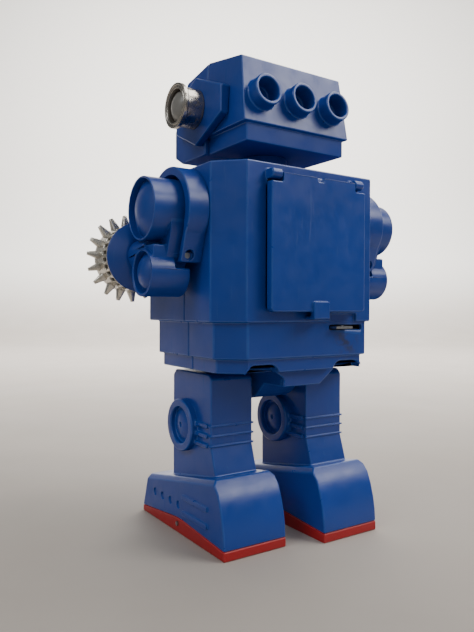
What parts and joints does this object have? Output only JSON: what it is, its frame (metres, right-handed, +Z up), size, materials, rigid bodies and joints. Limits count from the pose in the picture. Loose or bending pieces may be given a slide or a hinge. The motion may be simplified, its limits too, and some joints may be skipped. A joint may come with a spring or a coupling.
{
  "type": "toy robot",
  "caption": "Battery-powered walking toy robot with boxy head, round shoulder pods, spiked gear hands, sliding legs and a battery door in its back.",
  "frame": {"origin": "centre of the bounding box on the floor plane", "axes": "+Z up, the robot faces -Y, its left side is +X"},
  "size_m": [0.1844, 0.1068, 0.2517],
  "materials": {
    "blue_plastic": "injection-moulded, semi-gloss, lightly scuffed",
    "red_plastic": "injection-moulded, semi-gloss",
    "worn_chrome": "vacuum-plated plastic, tarnished and worn",
    "zinc_steel": "zinc-plated",
    "brass": "stamped",
    "black_plastic": "moulded, matt",
    "ivory_nylon": "moulded nylon",
    "black_rubber": "moulded, ribbed",
    "lead_insulation": "extruded PVC"
  },
  "bodies": {
    "torso": {"torso_rear_shell": "blue_plastic", "torso_front_shell": "blue_plastic", "hip_housing": "blue_plastic", "neck_collar": "blue_plastic", "torso_screws": "zinc_steel", "battery_tray": "black_plastic", "battery_contacts": "brass", "battery_springs": "zinc_steel", "switch_base": "black_plastic", "motor_leads": "lead_insulation", "head_rear_shell": "blue_plastic", "head_front_shell": "blue_plastic", "head_screws": "zinc_steel", "gearbox_left_plate": "zinc_steel", "gearbox_right_plate": "zinc_steel", "gearbox_spacers": "zinc_steel", "motor": "zinc_steel", "left_ear_block": "blue_plastic", "left_ear_lamp": "worn_chrome", "left_lamp_lens": "worn_chrome", "left_arm_housing": "blue_plastic", "left_arm_pivot_pin": "zinc_steel", "right_ear_block": "blue_plastic", "right_ear_lamp": "worn_chrome", "right_lamp_lens": "worn_chrome", "right_arm_housing": "blue_plastic", "right_arm_pivot_pin": "zinc_steel"},
    "battery_door": {"battery_door": "blue_plastic"},
    "switch_lever": {"switch_lever": "zinc_steel"},
    "crank": {"crank_gear": "ivory_nylon", "crank_shaft": "zinc_steel", "left_crank_arm": "brass", "right_crank_arm": "brass"},
    "idler": {"idler_gear": "ivory_nylon"},
    "motor_shaft": {"motor_pinion": "brass"},
    "left_arm": {"left_arm_pod": "blue_plastic", "left_forearm_bell": "blue_plastic"},
    "left_hand": {"left_gear_hand": "worn_chrome", "left_hand_shaft": "zinc_steel"},
    "left_leg": {"left_leg_shell": "blue_plastic", "left_sole": "red_plastic", "left_leg_screws": "zinc_steel", "left_leg_hanger": "zinc_steel", "left_foot_axle": "zinc_steel"},
    "left_rollers": {"left_foot_rollers": "black_rubber"},
    "right_arm": {"right_arm_pod": "blue_plastic", "right_forearm_bell": "blue_plastic"},
    "right_hand": {"right_gear_hand": "worn_chrome", "right_hand_shaft": "zinc_steel"},
    "right_leg": {"right_leg_shell": "blue_plastic", "right_sole": "red_plastic", "right_leg_screws": "zinc_steel", "right_leg_hanger": "zinc_steel", "right_foot_axle": "zinc_steel"},
    "right_rollers": {"right_foot_rollers": "black_rubber"}
  },
  "joints": [
    {"name": "battery_door_hinge", "type": "hinge", "parent": "torso", "child": "battery_door", "pos_m": [0, 0.04975, 0.1842], "axis": [1, 0, 0], "range_deg": [0, 110]},
    {"name": "switch_slide", "type": "slide", "parent": "torso", "child": "switch_lever", "axis": [-1, 0, 0], "range_m": [0, 0.0105]},
    {"name": "crank_spin", "type": "hinge", "parent": "torso", "child": "crank", "pos_m": [0, -0.0012, 0.1085], "axis": [1, 0, 0], "continuous": true},
    {"name": "idler_spin", "type": "hinge", "parent": "torso", "child": "idler", "pos_m": [0, -0.0012, 0.12725], "axis": [1, 0, 0], "continuous": true},
    {"name": "motor_spin", "type": "hinge", "parent": "torso", "child": "motor_shaft", "pos_m": [0, -0.0012, 0.146], "axis": [1, 0, 0], "continuous": true},
    {"name": "left_leg_stride", "type": "slide", "parent": "torso", "child": "left_leg", "axis": [0, 1, 0], "range_m": [0, 0.0078]},
    {"name": "right_leg_stride", "type": "slide", "parent": "torso", "child": "right_leg", "axis": [0, 1, 0], "range_m": [-0.0078, 0]},
    {"name": "left_arm_swing", "type": "hinge", "parent": "torso", "child": "left_arm", "pos_m": [0.0593, 0.01215, 0.1458], "axis": [0, -1, 0], "range_deg": [0, 12]},
    {"name": "left_hand_spin", "type": "hinge", "parent": "left_arm", "child": "left_hand", "pos_m": [0.0693, -0.01485, 0.1466], "axis": [0, 1, 0], "continuous": true},
    {"name": "left_roller_spin", "type": "hinge", "parent": "left_leg", "child": "left_rollers", "pos_m": [0.028, -0.00985, 0.0049], "axis": [1, 0, 0], "continuous": true},
    {"name": "right_arm_swing", "type": "hinge", "parent": "torso", "child": "right_arm", "pos_m": [-0.0593, 0.01215, 0.1458], "axis": [0, 1, 0], "range_deg": [0, 12]},
    {"name": "right_hand_spin", "type": "hinge", "parent": "right_arm", "child": "right_hand", "pos_m": [-0.0693, -0.01485, 0.1466], "axis": [0, 1, 0], "continuous": true},
    {"name": "right_roller_spin", "type": "hinge", "parent": "right_leg", "child": "right_rollers", "pos_m": [-0.028, -0.00205, 0.0049], "axis": [1, 0, 0], "continuous": true}
  ],
  "couplings": [
    {"joint": "idler_spin", "follows": "crank_spin", "ratio": -4},
    {"joint": "motor_spin", "follows": "crank_spin", "ratio": 16},
    {"joint": "right_leg_stride", "follows": "left_leg_stride", "ratio": -1}
  ]
}
